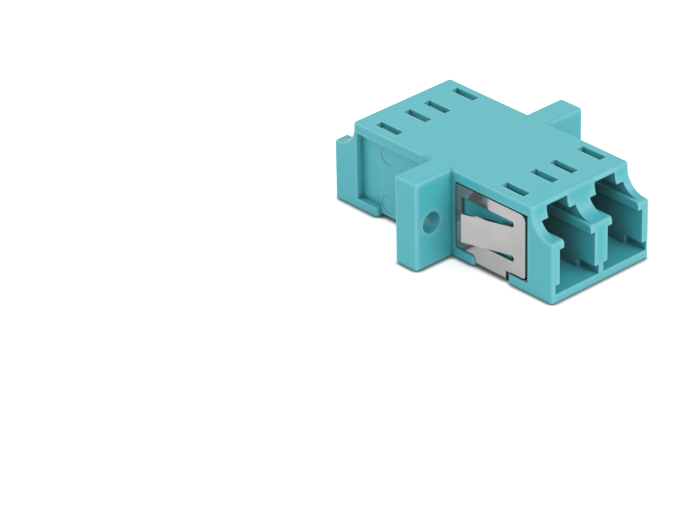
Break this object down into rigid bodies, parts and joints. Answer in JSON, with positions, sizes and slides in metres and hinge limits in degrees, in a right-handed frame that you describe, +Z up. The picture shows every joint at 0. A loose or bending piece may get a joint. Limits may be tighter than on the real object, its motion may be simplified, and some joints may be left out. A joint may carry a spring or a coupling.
{
  "type": "fibre optic adapter",
  "caption": "Flanged plastic coupler that joins two pairs of small-form fibre plugs mouth to mouth, with roof windows and a steel panel clip.",
  "frame": {"origin": "on the underside, below the middle of the panel flange", "axes": "+X along the fibres towards the mouth on the clip's half, +Y across the ports, +Z up out of the windowed roof"},
  "size_m": [0.0292, 0.022, 0.0093],
  "materials": {
    "housing_plastic": "satin aqua moulded plastic",
    "sleeve_ceramic": "ground white ceramic",
    "clip_steel": "bright rolled spring steel"
  },
  "bodies": {
    "root": {"front_housing": "housing_plastic", "rear_housing": "housing_plastic", "left_sleeve": "sleeve_ceramic", "right_sleeve": "sleeve_ceramic", "panel_clip": "clip_steel"}
  },
  "joints": []
}
